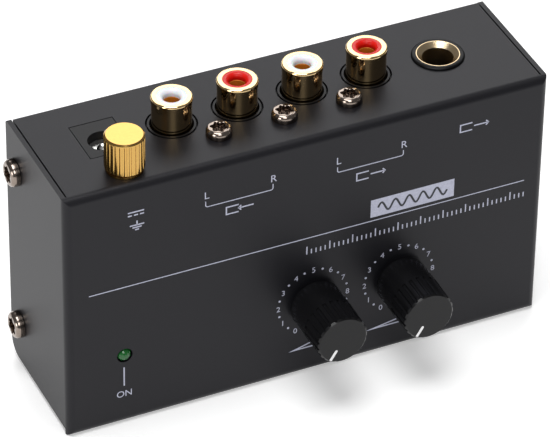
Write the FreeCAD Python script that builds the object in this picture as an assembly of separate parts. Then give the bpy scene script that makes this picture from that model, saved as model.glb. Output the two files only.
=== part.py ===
# Phono preamp: a bent steel tray standing on its narrow side, connectors on top,
# two control knobs and a power light on the front panel, a flat cover at the back.
# Millimetres, +Z up, front panel towards -Y.
# The origin is the middle of the face that the tray stands on.

import FreeCAD, Part
import math
import os

from FreeCAD import Vector

os.makedirs("parts", exist_ok=True)

# Case: bent sheet tray
case_width = 103.7
case_height = 58.0
case_depth = 29.1
sheet = 1.0
bend_radius = 1.6
seam_gap = 0.3
flange_overhang = 0.65
end_flange_lift = 1.2
flange_lower_corner = 3.5
flange_upper_corner = 0.8

# Rear cover
cover_gap = 0.2
cover_tab_depth = 7.0
cover_tab_height = 12.0
cover_bend_radius = 1.4
cover_tab_root = 2.4
cover_relief = 0.6
cover_screw_setback = 4.4
cover_screw_low = 11.0
cover_screw_high = 48.7

# Screws with six-lobe recess
cover_screw_head = 5.7
cover_screw_head_height = 1.9
cover_screw_shank = 2.9
cover_screw_length = 4.0
block_screw_head = 5.3
block_screw_head_height = 1.8
block_screw_shank = 2.5
block_screw_length = 8.0
recess_size = 2.7
recess_depth = 1.0
screw_clearance = 0.2
thread_fit = 0.03
pan_side = 0.45
pan_flat = 0.70
screw_point = 0.4
screw_point_length = 0.8
lobe_share = 0.16
core_share = 0.37
cut_margin = 1.0

# Rubber feet
foot_diameter = 8.0
foot_height = 2.0
foot_inset = 8.5
foot_edge = 0.6

# Circuit board
board_thickness = 1.6
board_side_gap = 4.4
board_bottom = 3.6
board_top_gap = 2.2
axis_over_board = 6.45
hole_clearance = 0.25

# Connector row: one line of axes behind the front panel
connector_setback = 15.65
panel_fit = 0.4

# Phono sockets
socket_count = 4
first_socket_x = -22.75
socket_pitch = 13.95
socket_height = 6.6
shell_diameter = 8.3
shell_waist = 8.05
shell_land = 1.0
shell_chamfer = 0.5
shell_mouth = 5.7
shell_lip = 0.35
shell_bore = 7.1
shell_flange = 9.0
shell_flange_thickness = 1.0
shell_seat_depth = 1.2
boss_diameter = 9.6
boss_bore = 8.8
contact_bore = 3.3
insulator_bore = 3.5
contact_wall = 0.45
contact_drop = 2.3
insulator_flare = 0.9
block_plate = 2.6
block_depth = 9.0
block_wall = 1.9
block_end = 7.1
block_screw_setback = 8.65
screw_post = 6.2
moulding_radius = 0.8
tail_size = 0.8
tail_out = 1.2
tail_drop = 1.4

# Power socket
power_x = -37.1
power_width = 9.0
power_face_depth = 11.0
power_axis_inset = 4.5
power_length = 14.2
power_front_length = 3.6
power_bore = 6.3
power_bore_depth = 9.2
power_pin = 2.0
power_pin_recess = 1.0
power_pin_round = 0.5
power_strip_width = 3.6
power_gap = 0.15
contact_strip = 0.35
power_contact_drop = 1.6

# Headphone-size socket, 6.35 mm
phone_x = 35.0
phone_bore = 6.4
phone_body_bore = 6.8
phone_flare = 8.8
phone_flare_depth = 1.0
phone_ring = 10.8
phone_ring_height = 0.5
phone_ring_lip = 9.4
phone_ring_round = 0.7
phone_ring_edge = 0.12
phone_body_width = 13.0
phone_body_front = 6.6
phone_body_length = 22.0
phone_bore_depth = 18.0
ferrule_wall = 0.6
ferrule_length = 6.0
ferrule_rim = 0.15
spring_width = 2.4
spring_thickness = 0.4
spring_press = 0.3
spring_gap = 0.2
phone_window = 3.6
phone_window_length = 9.4
phone_window_inset = 0.6
phone_window_bite = 0.8

# Ground terminal
ground_x = -36.9
ground_setback = 5.65
stud_diameter = 4.0
stud_reach = 6.2
stud_point = 0.4
stud_head = 6.6
stud_head_height = 1.6
thumb_nut_diameter = 8.0
thumb_nut_height = 7.6
thumb_nut_bore_depth = 6.4
thumb_nut_chamfer = 0.35
flute_count = 28
flute_radius = 0.36
flute_offset = 0.22
flute_top_gap = 0.15
washer_diameter = 7.6
washer_thickness = 0.5
ground_play = 0.06
inner_nut_flats = 7.0
inner_nut_height = 2.0
lug_ring = 7.4
lug_arm = 3.4
lug_reach = 6.2
lug_thickness = 0.5
lug_drop = 9.0

# Potentiometers and knobs
first_knob_x = 1.1
knob_pitch = 18.95
knob_z = 18.0
knob_names = ["level", "volume"]
knob_diameter = 11.0
knob_face_diameter = 10.7
knob_length = 13.2
knob_panel_gap = 0.85
knob_skirt_length = 7.1
knob_edge = 0.35
knob_back_edge = 0.3
knob_wall = 1.3
knob_hollow_depth = 3.2
rib_count = 22
groove_radius = 0.42
groove_depth = 0.24
pointer_angle = -122.0
pointer_start = 2.4
pointer_width = 0.6
pointer_depth = 0.5
shaft_diameter = 6.0
shaft_flat = 4.6
shaft_in_knob = 9.6
shaft_flat_length = 8.0
shaft_play = 0.05
shaft_panel_gap = 0.6
rotor_diameter = 7.8
rotor_thickness = 1.2
rotor_play = 0.3
bushing_diameter = 7.0
bushing_length = 6.0
bushing_flange = 9.0
bushing_flange_thickness = 0.8
bushing_chamfer = 0.4
pot_width = 9.7
pot_height = 11.3
pot_depth = 6.8
pot_corner = 1.2

# Power light
led_x = -39.6
led_z = 17.05
led_diameter = 3.0
led_length = 4.4
led_flange = 3.8
led_flange_thickness = 0.8
led_reach = 0.55
led_hole_gap = 0.15
led_lead = 0.5
led_lead_pitch = 2.54
spacer_diameter = 5.0

# Board supports
pillar_flats = 5.0
pillar_inset = 6.0
pillar_z = 8.0
pillar_thread = 2.5
board_screw_length = 6.0
board_screw_head = 5.0
board_screw_head_height = 1.5
board_screw_gap = 0.4

# Parts soldered to the board
part_pitch = 9.3
part_from_pillar = 9.0
part_row_z = 10.5
capacitor_diameter = 6.3
capacitor_height = 8.0
capacitor_edge = 0.4
capacitor_groove = 0.35
capacitor_groove_z = 1.2
capacitor_groove_half = 0.4
chip_row_z = 35.5
chip_row_x = -13.5
chip_row_pitch = 15.0
chip_count = 3
chip_width = 5.0
chip_height = 4.0
chip_thickness = 1.5
chip_lift = 0.15
chip_leg = 0.4
chip_leg_thickness = 0.5
chip_leg_reach = 1.0
chip_leg_bite = 0.2
chip_leg_pitch = 1.27
film_length = 7.2
film_thickness = 2.6
film_height = 6.5
film_round = 0.5
film_x = -12.5
film_row_z = 14.0
film_pitch = 4.6
film_count = 4
regulator_x = -39.0
regulator_z = 31.5
regulator_width = 6.6
regulator_height = 6.0
regulator_thickness = 2.3
regulator_tab = 1.4
regulator_tab_inset = 0.6
regulator_leg = 0.8
regulator_leg_length = 2.0
regulator_leg_pitch = 2.2
regulator_leg_thickness = 0.5

# Worked out from the sizes above
front_y = -case_depth / 2
back_y = case_depth / 2
half_width = case_width / 2
inner_front_y = front_y + sheet
inner_top_z = case_height - sheet
connector_y = front_y + connector_setback
board_front_y = connector_y + axis_over_board
board_back_y = board_front_y + board_thickness
board_half_width = half_width - sheet - board_side_gap
board_top = inner_top_z - board_top_gap
cover_outer_y = back_y
cover_inner_y = back_y - sheet
ground_y = front_y + ground_setback
block_screw_y = front_y + block_screw_setback
socket_xs = [first_socket_x + i * socket_pitch for i in range(socket_count)]
block_screw_xs = [0.5 * (socket_xs[i] + socket_xs[i + 1]) for i in range(socket_count - 1)]
block_back_z = inner_top_z - block_depth
knob_xs = [first_knob_x + i * knob_pitch for i in range(len(knob_names))]
cover_screw_zs = [cover_screw_low, cover_screw_high]
cover_screw_y = back_y - cover_screw_setback
pillar_xs = [-board_half_width + pillar_inset, board_half_width - pillar_inset]
tail_z = block_back_z - tail_drop
tail_tip_y = board_back_y + tail_out
tail_hole = tail_size * math.sqrt(2) + 2 * hole_clearance

X = Vector(1, 0, 0)
Y = Vector(0, 1, 0)
Z = Vector(0, 0, 1)


def box(x0, x1, y0, y1, z0, z1):
    """A box between two opposite corners."""
    return Part.makeBox(x1 - x0, y1 - y0, z1 - z0, Vector(x0, y0, z0))


def rod(radius, length, base, direction):
    """A cylinder from a base point along a direction."""
    return Part.makeCylinder(radius, length, base, direction)


def tube(outer, inner, length, base, direction):
    """A hollow cylinder given by its two radii."""
    return rod(outer, length, base, direction).cut(rod(inner, length, base, direction))


def turned(profile, base, direction):
    """A solid of revolution: profile is (radius, height) pairs, closed on itself."""
    points = [Vector(r, 0, h) for r, h in profile]
    face = Part.Face(Part.makePolygon(points + [points[0]]))
    solid = face.revolve(Vector(0, 0, 0), Z, 360)
    solid.Placement = FreeCAD.Placement(base, FreeCAD.Rotation(Z, direction))
    return solid


def prism(points, direction):
    """A polygon pushed along a direction."""
    return Part.Face(Part.makePolygon(points + [points[0]])).extrude(direction)


def hexagon(flats, length, base, direction):
    """A hexagonal bar, given across its flats."""
    radius = flats / math.sqrt(3)
    points = []
    for i in range(6):
        a = math.radians(60 * i)
        points.append(Vector(radius * math.cos(a), radius * math.sin(a), 0))
    bar = prism(points, Vector(0, 0, length))
    bar.Placement = FreeCAD.Placement(base, FreeCAD.Rotation(Z, direction))
    return bar


def rounded_box(x0, x1, y0, y1, z0, z1, radius, along):
    """A box whose four edges along one axis are rounded."""
    solid = box(x0, x1, y0, y1, z0, z1)
    edges = [e for e in solid.Edges if abs(e.tangentAt(e.FirstParameter).dot(along)) > 0.99]
    return solid.makeFillet(radius, edges)


def one(shape):
    """The single clean solid of a boolean result."""
    shape = shape.removeSplitter()
    if len(shape.Solids) == 1:
        return shape.Solids[0]
    return shape


def save(name, shape):
    """Write one piece, or one group of like pieces, under its own name."""
    shape.exportStep(os.path.join("parts", name + ".step"))
    print(name, "solids", len(shape.Solids), "volume", round(shape.Volume, 2), "valid", shape.isValid())


def screw(head, head_height, shank, length, base, direction):
    """A pan-head screw: base is the point under the head, direction is the way the head faces."""
    r = head / 2
    side = pan_side * head_height
    crown = [(0, 0), (r, 0), (r, side)]
    for i in range(1, 4):
        a = math.radians(90 * i / 4)
        reach = r * (pan_flat + (1 - pan_flat) * math.cos(a))
        crown.append((reach, side + (head_height - side) * math.sin(a)))
    crown += [(pan_flat * r, head_height), (0, head_height)]
    solid = turned(crown, Vector(0, 0, 0), Z)
    solid = solid.cut(six_lobe(head_height))
    tip = shank / 2 - screw_point
    neck = -length + screw_point_length
    shaft = [(0, 0), (shank / 2, 0), (shank / 2, neck), (tip, -length), (0, -length)]
    solid = one(solid.fuse(turned(shaft, Vector(0, 0, 0), Z)))
    solid.Placement = FreeCAD.Placement(base, FreeCAD.Rotation(Z, direction))
    return solid


def six_lobe(top):
    """The recess tool: a core and six round lobes on a circle."""
    lobe = lobe_share * recess_size
    ring = recess_size / 2 - lobe
    tool = rod(core_share * recess_size, recess_depth, Vector(0, 0, top - recess_depth), Z)
    for i in range(6):
        a = math.radians(60 * i)
        centre = Vector(ring * math.cos(a), ring * math.sin(a), top - recess_depth)
        tool = tool.fuse(rod(lobe, recess_depth, centre, Z))
    return tool.removeSplitter()


def case_tray():
    """Front panel with four bent flanges; the back is open."""
    outer = box(-half_width, half_width, front_y, back_y + flange_overhang, 0, case_height)
    outer = outer.makeFillet(bend_radius, front_edges(outer, front_y))
    inner = box(-half_width + sheet, half_width - sheet, inner_front_y,
                back_y + 2 * flange_overhang, sheet, inner_top_z)
    inner = inner.makeFillet(bend_radius - sheet, front_edges(inner, inner_front_y))
    tray = outer.cut(inner)
    seam_front = front_y + bend_radius
    far = back_y + 2 * flange_overhang
    middle = half_width - sheet - seam_gap
    # The top and bottom flanges end at the case depth, short of the end flanges
    tray = tray.cut(box(-middle, middle, back_y, far, -1, case_height + 1))
    for side in (-1, 1):
        edge = sorted([side * middle, side * (half_width - sheet)])
        tray = tray.cut(box(edge[0], edge[1], seam_front, far, -1, sheet + 1))
        tray = tray.cut(box(edge[0], edge[1], seam_front, far, inner_top_z - 1, case_height + 1))
        outside = sorted([side * (half_width - sheet), side * (half_width + 1)])
        tray = tray.cut(box(outside[0], outside[1], seam_front, far, -1, end_flange_lift))
        tray = tray.cut(flange_corner(outside, end_flange_lift, flange_lower_corner, 1))
        tray = tray.cut(flange_corner(outside, case_height, flange_upper_corner, -1))
    return one(tray)


def front_edges(solid, y):
    """The four edges of a box that lie in its front face."""
    return [e for e in solid.Edges if all(abs(v.Y - y) < 1e-6 for v in e.Vertexes)]


def flange_corner(outside, z, radius, up):
    """The waste outside a rounded back corner of an end flange."""
    y = back_y + flange_overhang
    zs = sorted([z, z + up * radius])
    waste = box(outside[0], outside[1], y - radius, y, zs[0], zs[1])
    centre = Vector(outside[0], y - radius, z + up * radius)
    return waste.cut(rod(radius, outside[1] - outside[0], centre, X))


def pierced_tray():
    """The tray with every hole that its fittings pass through."""
    tray = case_tray()
    cuts = []
    below_top = inner_top_z - cut_margin
    through_top = sheet + 2 * cut_margin
    through_front = front_y - cut_margin
    for x in socket_xs:
        cuts.append(rod(boss_diameter / 2 + panel_fit, through_top, Vector(x, connector_y, below_top), Z))
    for x in block_screw_xs:
        radius = block_screw_shank / 2 + screw_clearance
        cuts.append(rod(radius, through_top, Vector(x, block_screw_y, below_top), Z))
    phone_hole = phone_ring_lip / 2 + screw_clearance
    cuts.append(rod(phone_hole, through_top, Vector(phone_x, connector_y, below_top), Z))
    stud_hole = stud_diameter / 2 + screw_clearance
    cuts.append(rod(stud_hole, through_top, Vector(ground_x, ground_y, below_top), Z))
    power_front = connector_y - power_axis_inset
    cuts.append(box(power_x - power_width / 2 - power_gap, power_x + power_width / 2 + power_gap,
                    power_front - power_gap, power_front + power_face_depth + power_gap,
                    below_top, case_height + cut_margin))
    for x in knob_xs:
        hole = shaft_diameter / 2 + shaft_panel_gap
        cuts.append(rod(hole, through_top, Vector(x, through_front, knob_z), Y))
    light_hole = led_diameter / 2 + led_hole_gap
    cuts.append(rod(light_hole, through_top, Vector(led_x, through_front, led_z), Y))
    side_hole = cover_screw_shank / 2 + screw_clearance
    for side in (-1, 1):
        for z in cover_screw_zs:
            base = Vector(side * (half_width - sheet - cut_margin), cover_screw_y, z)
            cuts.append(rod(side_hole, through_top, base, X * side))
    for cut in cuts:
        tray = tray.cut(cut)
    return one(tray)


def rear_cover():
    """Plate between the four flanges, with a tab bent forward at each screw."""
    reach = half_width - sheet - cover_gap
    cover = box(-reach, reach, cover_inner_y, cover_outer_y, sheet + cover_gap, inner_top_z - cover_gap)
    for side in (-1, 1):
        for z in cover_screw_zs:
            low = z - cover_tab_height / 2
            high = z + cover_tab_height / 2
            xs = sorted([side * (reach - cover_tab_root), side * (reach + 1)])
            relief = cover_relief
            cover = cover.cut(box(xs[0], xs[1], cover_inner_y - 1, back_y + 1, low - relief, high + relief))
            cover = cover.fuse(cover_tab(side, low, high))
            radius = cover_screw_shank / 2 + thread_fit
            base = Vector(side * (reach - 2 * sheet), cover_screw_y, z)
            cover = cover.cut(rod(radius, 3 * sheet, base, X * side))
    return one(cover)


def cover_tab(side, low, high):
    """One bent tab: a strip of the plate that turns forward round the bend."""
    reach = half_width - sheet - cover_gap
    front = cover_outer_y - cover_tab_depth
    outer = box(reach - cover_tab_root - 0.5, reach, front, cover_outer_y, low, high)
    outer = outer.makeFillet(cover_bend_radius, upright_edge(outer, reach, cover_outer_y))
    inner = box(reach - cover_tab_root - 1, reach - sheet, front - 1, cover_inner_y, low - 1, high + 1)
    inner = inner.makeFillet(cover_bend_radius - sheet, upright_edge(inner, reach - sheet, cover_inner_y))
    tab = outer.cut(inner)
    if side < 0:
        tab = tab.mirror(Vector(0, 0, 0), X)
    return tab


def upright_edge(solid, x, y):
    """The vertical edge of a box at one corner of its plan."""
    return [e for e in solid.Edges if all(abs(v.X - x) + abs(v.Y - y) < 1e-6 for v in e.Vertexes)]


def cover_screws():
    """Two screws in each end flange, into the cover's tabs."""
    made = []
    for side in (-1, 1):
        for z in cover_screw_zs:
            base = Vector(side * half_width, cover_screw_y, z)
            made.append(screw(cover_screw_head, cover_screw_head_height, cover_screw_shank,
                              cover_screw_length, base, X * side))
    return Part.makeCompound(made)


def rubber_feet():
    """Four round feet stuck to the cover."""
    r = foot_diameter / 2
    profile = [(0, 0), (r, 0), (r, foot_height - foot_edge), (r - foot_edge, foot_height), (0, foot_height)]
    made = []
    for x in (-half_width + foot_inset, half_width - foot_inset):
        for z in (foot_inset, case_height - foot_inset):
            made.append(turned(profile, Vector(x, cover_outer_y, z), Y))
    return Part.makeCompound(made)


def socket_shell(x):
    """Turned outer contact: chamfered land, waist, and a flange that seats in the block."""
    top = case_height + socket_height
    seat = inner_top_z - shell_seat_depth
    land = shell_diameter / 2
    waist = shell_waist / 2
    foot = shell_flange / 2
    bore = shell_bore / 2
    profile = [
        (shell_mouth / 2, top),
        (land - shell_chamfer, top),
        (land, top - shell_chamfer),
        (land, top - shell_chamfer - shell_land),
        (waist, top - shell_chamfer - shell_land - (land - waist)),
        (waist, seat),
        (foot, seat),
        (foot, seat - shell_flange_thickness),
        (waist, seat - shell_flange_thickness),
        (waist, block_back_z + block_plate),
        (bore, block_back_z + block_plate),
        (bore, top - shell_lip),
        (shell_mouth / 2, top - shell_lip),
    ]
    return turned(profile, Vector(x, connector_y, 0), Z)


def socket_insulator(x):
    """Plastic insert with a bell mouth that leads into the centre contact."""
    top = case_height + socket_height - shell_lip
    outer = shell_bore / 2
    bore = insulator_bore / 2
    sleeve = contact_bore / 2 + contact_wall
    bottom = block_back_z + block_plate
    profile = [(outer, top), (bore + insulator_flare, top)]
    for i in range(1, 6):
        a = math.radians(90 * i / 5)
        reach = bore + insulator_flare * (1 - math.sin(a))
        profile.append((reach, top - insulator_flare * (1 - math.cos(a))))
    profile += [(bore, top - contact_drop), (sleeve, top - contact_drop), (sleeve, bottom), (outer, bottom)]
    return turned(profile, Vector(x, connector_y, 0), Z)


def socket_contact(x):
    """Centre contact tube with a flat tail that is soldered into the board."""
    top = case_height + socket_height - shell_lip - contact_drop
    bore = contact_bore / 2
    outer = bore + contact_wall
    floor = tail_z + tail_size
    profile = [(0, tail_z), (outer, tail_z), (outer, top), (bore, top), (bore, floor), (0, floor)]
    barrel = turned(profile, Vector(x, connector_y, 0), Z)
    half = tail_size / 2
    tail = box(x - half, x + half, connector_y, tail_tip_y, tail_z, tail_z + tail_size)
    return one(barrel.fuse(tail))


def socket_block():
    """Moulded block: front plate, one rounded barrel and boss for each socket, and screw posts."""
    left = socket_xs[0] - block_end
    right = socket_xs[-1] + block_end
    front = block_screw_y - screw_post / 2
    block = rounded_box(left, right, front, board_front_y, inner_top_z - block_plate, inner_top_z,
                        moulding_radius, Z)
    radius = shell_diameter / 2 + block_wall
    for x in socket_xs:
        block = block.fuse(rod(radius, block_depth, Vector(x, connector_y, block_back_z), Z))
        block = block.fuse(box(x - radius, x + radius, connector_y, board_front_y,
                               block_back_z, inner_top_z))
        block = block.fuse(rod(boss_diameter / 2, sheet, Vector(x, connector_y, inner_top_z), Z))
    for x in block_screw_xs:
        post = Vector(x, block_screw_y, block_back_z)
        block = block.fuse(rod(screw_post / 2, block_depth, post, Z))
    rail = box(left + block_end, right - block_end, board_front_y - block_wall, board_front_y,
               block_back_z, inner_top_z)
    block = block.fuse(rail)
    for x in socket_xs:
        seat = inner_top_z - shell_seat_depth
        top = case_height + cut_margin
        mouth = Vector(x, connector_y, seat - shell_flange_thickness)
        block = block.cut(rod(shell_flange / 2, shell_flange_thickness, mouth, Z))
        block = block.cut(rod(boss_bore / 2, top - seat, Vector(x, connector_y, seat), Z))
        lower = block_back_z + block_plate
        block = block.cut(rod(shell_waist / 2, top - lower, Vector(x, connector_y, lower), Z))
        drop = Vector(x, connector_y, block_back_z - cut_margin)
        sleeve = contact_bore / 2 + contact_wall
        block = block.cut(rod(sleeve, block_plate + 2 * cut_margin, drop, Z))
    for x in block_screw_xs:
        start = Vector(x, block_screw_y, inner_top_z - block_screw_length)
        thread = block_screw_shank / 2 + thread_fit
        block = block.cut(rod(thread, block_screw_length + cut_margin, start, Z))
    return one(block)


def block_screws():
    """Three screws through the top flange into the block's posts."""
    made = []
    for x in block_screw_xs:
        base = Vector(x, block_screw_y, case_height)
        made.append(screw(block_screw_head, block_screw_head_height, block_screw_shank,
                          block_screw_length, base, Z))
    return Part.makeCompound(made)


def power_housing():
    """Power socket: square front, half-round body behind it, and a deep round bore."""
    left = power_x - power_width / 2
    right = power_x + power_width / 2
    front = connector_y - power_axis_inset
    back_z = case_height - power_length
    body = box(left, right, front, board_front_y, case_height - power_front_length, case_height)
    body = body.fuse(rod(power_width / 2, power_length, Vector(power_x, connector_y, back_z), Z))
    body = body.fuse(box(left, right, connector_y, board_front_y, back_z, case_height))
    bore = Vector(power_x, connector_y, case_height - power_bore_depth)
    body = body.cut(rod(power_bore / 2, power_bore_depth + cut_margin, bore, Z))
    pin_hole = Vector(power_x, connector_y, back_z - cut_margin)
    body = body.cut(rod(power_pin / 2, power_length, pin_hole, Z))
    slot = power_contact_span()
    body = body.cut(box(*slot))
    return one(body)


def power_contact_span():
    """The slot for the sprung contact, on the front side of the bore."""
    radius = power_bore / 2
    half = power_strip_width / 2
    y0 = connector_y - radius - contact_strip
    y1 = connector_y - math.sqrt(radius ** 2 - half ** 2)
    low = case_height - power_bore_depth
    return (power_x - half, power_x + half, y0, y1, low, case_height - power_contact_drop)


def power_contact():
    """Sprung strip that bears on the outside of the plug, with a bend towards the bore."""
    x0, x1, y0, y1, z0, z1 = power_contact_span()
    t = contact_strip
    middle = 0.5 * (z0 + z1)
    points = [
        Vector(x0, y0, z0),
        Vector(x0, y0 + t, z0),
        Vector(x0, y0 + 3 * t, middle),
        Vector(x0, y0 + t, z1),
        Vector(x0, y0, z1),
        Vector(x0, y0 + 2 * t, middle),
    ]
    return prism(points, Vector(x1 - x0, 0, 0))


def power_pin_piece():
    """Centre pin with a rounded tip and a tail into the board."""
    top = case_height - power_pin_recess
    base = case_height - power_length - tail_size
    r = power_pin / 2
    tip = power_pin_round
    profile = [(0, base), (r, base), (r, top - tip), (r - tip, top), (0, top)]
    pin = turned(profile, Vector(power_x, connector_y, 0), Z)
    half = tail_size / 2
    tail = box(power_x - half, power_x + half, connector_y, tail_tip_y, base, base + tail_size)
    return one(pin.fuse(tail))


def phone_housing():
    """6.35 mm socket body: box with chamfered back, nose ring that stands proud of the panel."""
    half = phone_body_width / 2
    front = connector_y - phone_body_front
    low = inner_top_z - phone_body_length
    body = rounded_box(phone_x - half, phone_x + half, front, board_front_y, low, inner_top_z,
                       moulding_radius, Z)
    lip = phone_ring_lip / 2
    ring = phone_ring / 2
    rise = case_height + phone_ring_height
    root = inner_top_z - cut_margin
    nose = [(0, root), (lip, root), (lip, case_height), (ring, case_height)]
    steps = 5
    crown = phone_ring_height - phone_ring_edge
    for i in range(steps + 1):
        a = math.radians(90 * i / steps)
        reach = ring - phone_ring_round * (1 - math.cos(a))
        nose.append((reach, case_height + phone_ring_edge + crown * math.sin(a)))
    nose.append((0, rise))
    body = body.fuse(turned(nose, Vector(phone_x, connector_y, 0), Z))
    sleeve = phone_bore / 2 + ferrule_wall
    centre = Vector(phone_x, connector_y, inner_top_z + phone_ring_height + sheet - ferrule_length)
    body = body.cut(rod(sleeve, ferrule_length + cut_margin, centre, Z))
    flare = phone_flare / 2
    mouth = [(0, rise - phone_flare_depth), (sleeve, rise - phone_flare_depth), (flare, rise),
             (flare, rise + cut_margin), (0, rise + cut_margin)]
    body = body.cut(turned(mouth, Vector(phone_x, connector_y, 0), Z))
    bore = Vector(phone_x, connector_y, inner_top_z - phone_bore_depth)
    body = body.cut(rod(phone_body_bore / 2, phone_bore_depth, bore, Z))
    for side in (-1, 1):
        body = body.cut(phone_window_tool(side))
    return one(body)


def phone_window_tool(side):
    """Opening in the side of the body through which a contact spring reaches the bore."""
    inner = phone_x + side * (phone_body_bore / 2 - phone_window_bite)
    outer = phone_x + side * (phone_body_width / 2 + cut_margin)
    xs = sorted([inner, outer])
    low = inner_top_z - phone_bore_depth + phone_window_inset
    half = phone_window / 2
    return box(xs[0], xs[1], connector_y - half, connector_y + half, low, low + phone_window_length)


def phone_ferrule():
    """Plated ferrule: countersunk mouth and a short sleeve."""
    rise = case_height + phone_ring_height
    bore = phone_bore / 2
    sleeve = bore + ferrule_wall
    flare = phone_flare / 2
    low = rise - ferrule_length
    profile = [
        (bore, low),
        (sleeve, low),
        (sleeve, rise - phone_flare_depth),
        (flare, rise),
        (flare - ferrule_rim, rise),
        (bore, rise - phone_flare_depth + ferrule_rim),
    ]
    return turned(profile, Vector(phone_x, connector_y, 0), Z)


def phone_springs():
    """Tip and ring springs: bent strips in the windows on both sides."""
    made = []
    for side in (-1, 1):
        low = inner_top_z - phone_bore_depth + phone_window_inset + spring_gap
        high = low + phone_window_length - 2 * spring_gap
        outer = phone_body_width / 2 - spring_gap
        crest = phone_bore / 2 - spring_press
        t = spring_thickness
        middle = 0.5 * (low + high)
        profile = [(outer, low), (outer, high), (outer - t, high), (crest, middle), (outer - t, low)]
        points = [Vector(phone_x + side * x, connector_y - spring_width / 2, z) for x, z in profile]
        made.append(prism(points, Vector(0, spring_width, 0)))
    return Part.makeCompound(made)


def ground_stud():
    """Threaded stud: its head stays inside, the shank comes through the top flange."""
    top = case_height + stud_reach
    head_top = inner_top_z - lug_thickness - inner_nut_height
    r = stud_diameter / 2
    profile = [
        (0, head_top - stud_head_height),
        (stud_head / 2, head_top - stud_head_height),
        (stud_head / 2, head_top),
        (r, head_top),
        (r, top - stud_point),
        (r - stud_point, top),
        (0, top),
    ]
    return turned(profile, Vector(ground_x, ground_y, 0), Z)


def ground_inner_nut():
    """Hexagonal nut that clamps the lug against the inside of the flange."""
    base = Vector(ground_x, ground_y, inner_top_z - lug_thickness - inner_nut_height)
    nut = hexagon(inner_nut_flats, inner_nut_height, base, Z)
    return one(nut.cut(rod(stud_diameter / 2 + thread_fit, inner_nut_height, base, Z)))


def ground_lug():
    """Solder lug: a ring under the flange and a leg bent down beside the nut."""
    z1 = inner_top_z
    z0 = z1 - lug_thickness
    ring = rod(lug_ring / 2, lug_thickness, Vector(ground_x, ground_y, z0), Z)
    half = lug_arm / 2
    reach = ground_x - lug_reach
    arm = box(reach, ground_x, ground_y - half, ground_y + half, z0, z1)
    leg = box(reach, reach + lug_thickness, ground_y - half, ground_y + half, z0 - lug_drop, z1)
    lug = ring.fuse(arm).fuse(leg)
    hole = rod(stud_diameter / 2 + thread_fit, lug_thickness, Vector(ground_x, ground_y, z0), Z)
    return one(lug.cut(hole))


def ground_washer():
    """Plain washer under the thumb nut; it lifts off with the nut."""
    base = Vector(ground_x, ground_y, case_height + ground_play)
    bore = stud_diameter / 2 + ground_play
    return tube(washer_diameter / 2, bore, washer_thickness, base, Z)


def thumb_nut():
    """Fluted thumb nut with a blind thread and a chamfered flat top."""
    r = thumb_nut_diameter / 2
    h = thumb_nut_height
    c = thumb_nut_chamfer
    low = case_height + washer_thickness + 2 * ground_play
    bore = stud_diameter / 2 + ground_play
    profile = [
        (bore, 0),
        (r - c, 0),
        (r, c),
        (r, h - c),
        (r - c, h),
        (0, h),
        (0, thumb_nut_bore_depth),
        (bore, thumb_nut_bore_depth),
    ]
    nut = turned(profile, Vector(ground_x, ground_y, low), Z)
    ring = r + flute_offset
    flutes = []
    for i in range(flute_count):
        a = 2 * math.pi * i / flute_count
        centre = Vector(ground_x + ring * math.cos(a), ground_y + ring * math.sin(a), low)
        flutes.append(rod(flute_radius, h - c - flute_top_gap, centre, Z))
    return one(nut.cut(flutes))


def knob(x):
    """Round knob: smooth skirt, grooved front half, flat face with a slot for the pointer."""
    face_y = front_y - knob_panel_gap - knob_length
    r = knob_diameter / 2
    face = knob_face_diameter / 2
    profile = [
        (0, 0),
        (r - knob_back_edge, 0),
        (r, knob_back_edge),
        (r, knob_skirt_length),
        (face, knob_length - knob_edge),
        (face - knob_edge, knob_length),
        (0, knob_length),
    ]
    base = Vector(x, front_y - knob_panel_gap, knob_z)
    solid = turned(profile, base, Y * -1)
    hollow = rod(r - knob_wall, knob_hollow_depth, base, Y * -1)
    solid = solid.cut(hollow)
    solid = solid.cut(shaft_tip(x, thread_fit))
    ring = r + groove_radius - groove_depth
    front = face + groove_radius - groove_depth
    grooves = []
    length = knob_length - knob_skirt_length
    for i in range(rib_count):
        a = 2 * math.pi * (i + 0.5) / rib_count
        outward = Vector(math.cos(a), 0, math.sin(a))
        start = Vector(x, face_y + length, knob_z) + outward * ring
        end = Vector(x, face_y - cut_margin, knob_z) + outward * front
        grooves.append(rod(groove_radius, (end - start).Length, start, end - start))
    solid = solid.cut(grooves)
    return one(solid.cut(pointer(x)))


def pointer(x):
    """White inlay in the knob's face, along a radius."""
    face_y = front_y - knob_panel_gap - knob_length
    half = pointer_width / 2
    end = knob_face_diameter / 2 - knob_edge
    bar = box(pointer_start + half, end, 0, pointer_depth, -half, half)
    bar = bar.fuse(rod(half, pointer_depth, Vector(pointer_start + half, 0, 0), Y))
    bar = one(bar)
    turn = FreeCAD.Rotation(Y, -pointer_angle)
    bar.Placement = FreeCAD.Placement(Vector(x, face_y, knob_z), turn)
    return bar


def shaft_tip(x, extra):
    """The shaft's end inside the knob, round with one flat, grown by a fitting allowance."""
    r = shaft_diameter / 2 + extra
    base = Vector(x, front_y - knob_panel_gap, knob_z)
    tip = rod(r, shaft_in_knob + extra, base, Y * -1)
    flat_z = knob_z - shaft_diameter / 2 + shaft_flat + extra
    start = base.y - shaft_in_knob - extra
    waste = box(x - r, x + r, start, start + shaft_flat_length, flat_z, knob_z + r)
    return tip.cut(waste)


def pot_shaft(x):
    """Shaft with a rotor disc held inside the body."""
    rotor_y = board_front_y - pot_depth + rotor_play
    length = rotor_y - (front_y - knob_panel_gap)
    base = Vector(x, rotor_y, knob_z)
    shaft = rod(shaft_diameter / 2, length, base, Y * -1)
    shaft = shaft.fuse(rod(rotor_diameter / 2, rotor_thickness, base, Y))
    return one(shaft.fuse(shaft_tip(x, 0)))


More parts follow.
